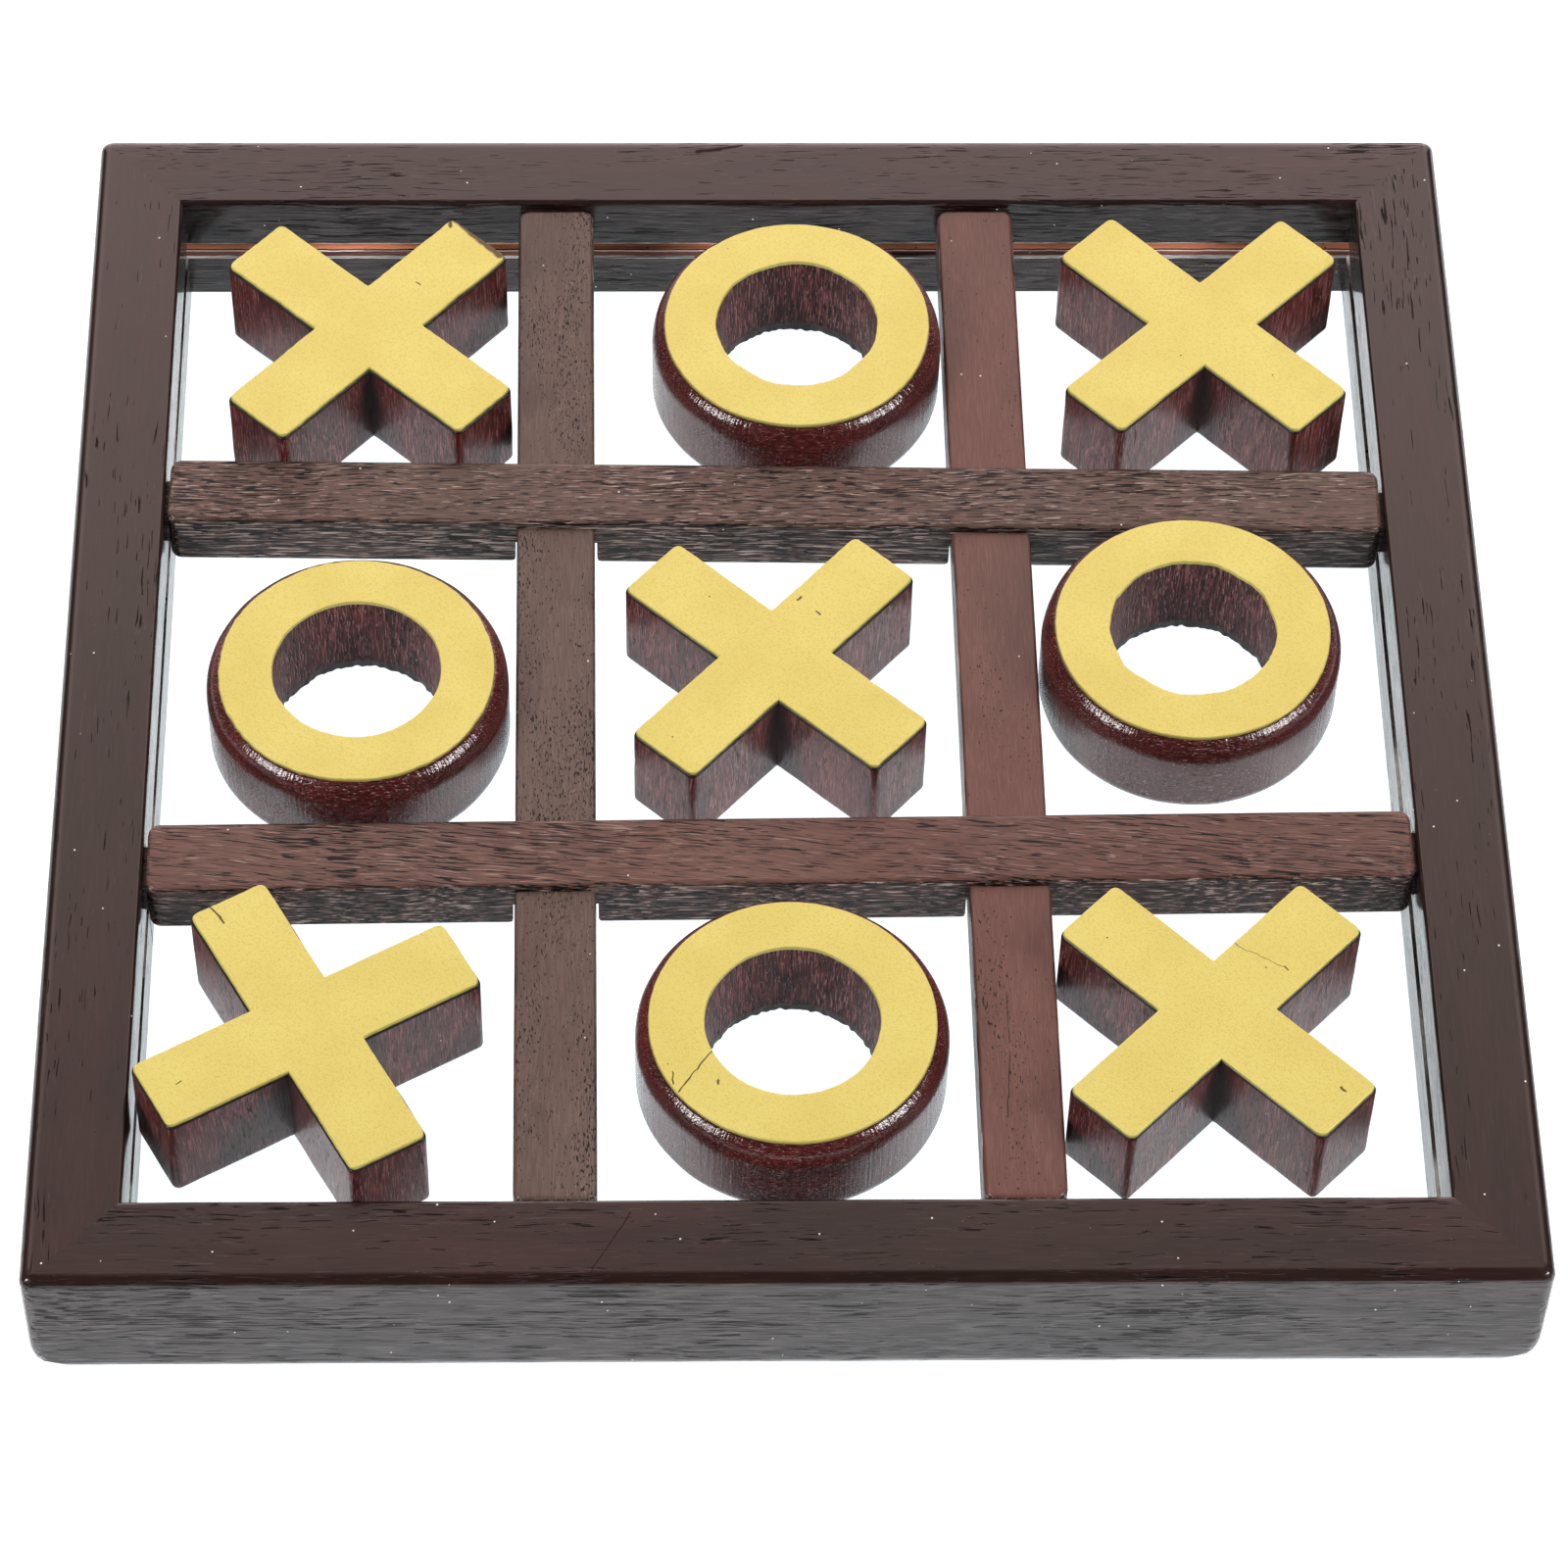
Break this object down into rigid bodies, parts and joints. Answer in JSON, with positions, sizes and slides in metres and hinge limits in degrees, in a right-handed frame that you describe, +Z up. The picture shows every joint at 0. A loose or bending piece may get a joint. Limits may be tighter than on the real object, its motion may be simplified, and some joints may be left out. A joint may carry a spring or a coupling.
{
  "type": "tic tac toe set",
  "caption": "Square mitred wooden board with a glass floor and a half-lapped grid of bars, and loose wooden X and O pieces with gold faces standing in its cells.",
  "frame": {"origin": "centre of the frame's underside, on the surface the board stands on", "axes": "+X right and +Y to the rear as seen by a player in front, +Z up"},
  "size_m": [0.15, 0.15, 0.0196],
  "materials": {
    "frame_wood": "dark brown-black satin lacquer",
    "bar_wood": "dark brown open-pored satin lacquer",
    "piece_wood": "dark red-brown satin lacquer",
    "gold_face": "satin pale gold",
    "glass": "clear polished"
  },
  "bodies": {
    "board": {"frame_rail_front": "frame_wood", "frame_rail_right": "frame_wood", "frame_rail_rear": "frame_wood", "frame_rail_left": "frame_wood", "glass_panel": "glass", "grid_bar_rear": "bar_wood", "grid_bar_front": "bar_wood", "grid_bar_left": "bar_wood", "grid_bar_right": "bar_wood"},
    "x_piece_rear_left": {"x_block_rear_left": "piece_wood", "x_face_rear_left": "gold_face"},
    "x_piece_rear_right": {"x_block_rear_right": "piece_wood", "x_face_rear_right": "gold_face"},
    "x_piece_centre": {"x_block_centre": "piece_wood", "x_face_centre": "gold_face"},
    "x_piece_front_left": {"x_block_front_left": "piece_wood", "x_face_front_left": "gold_face"},
    "x_piece_front_right": {"x_block_front_right": "piece_wood", "x_face_front_right": "gold_face"},
    "o_piece_rear_middle": {"o_block_rear_middle": "piece_wood", "o_face_rear_middle": "gold_face"},
    "o_piece_middle_left": {"o_block_middle_left": "piece_wood", "o_face_middle_left": "gold_face"},
    "o_piece_middle_right": {"o_block_middle_right": "piece_wood", "o_face_middle_right": "gold_face"},
    "o_piece_front_middle": {"o_block_front_middle": "piece_wood", "o_face_front_middle": "gold_face"}
  },
  "joints": [
    {"name": "lift_x_rear_left", "type": "slide", "parent": "board", "child": "x_piece_rear_left", "axis": [0, 0, 1], "range_m": [0, 0.03]},
    {"name": "lift_x_rear_right", "type": "slide", "parent": "board", "child": "x_piece_rear_right", "axis": [0, 0, 1], "range_m": [0, 0.03]},
    {"name": "lift_x_centre", "type": "slide", "parent": "board", "child": "x_piece_centre", "axis": [0, 0, 1], "range_m": [0, 0.03]},
    {"name": "lift_x_front_left", "type": "slide", "parent": "board", "child": "x_piece_front_left", "axis": [0, 0, 1], "range_m": [0, 0.03]},
    {"name": "lift_x_front_right", "type": "slide", "parent": "board", "child": "x_piece_front_right", "axis": [0, 0, 1], "range_m": [0, 0.03]},
    {"name": "lift_o_rear_middle", "type": "slide", "parent": "board", "child": "o_piece_rear_middle", "axis": [0, 0, 1], "range_m": [0, 0.03]},
    {"name": "lift_o_middle_left", "type": "slide", "parent": "board", "child": "o_piece_middle_left", "axis": [0, 0, 1], "range_m": [0, 0.03]},
    {"name": "lift_o_middle_right", "type": "slide", "parent": "board", "child": "o_piece_middle_right", "axis": [0, 0, 1], "range_m": [0, 0.03]},
    {"name": "lift_o_front_middle", "type": "slide", "parent": "board", "child": "o_piece_front_middle", "axis": [0, 0, 1], "range_m": [0, 0.03]}
  ]
}
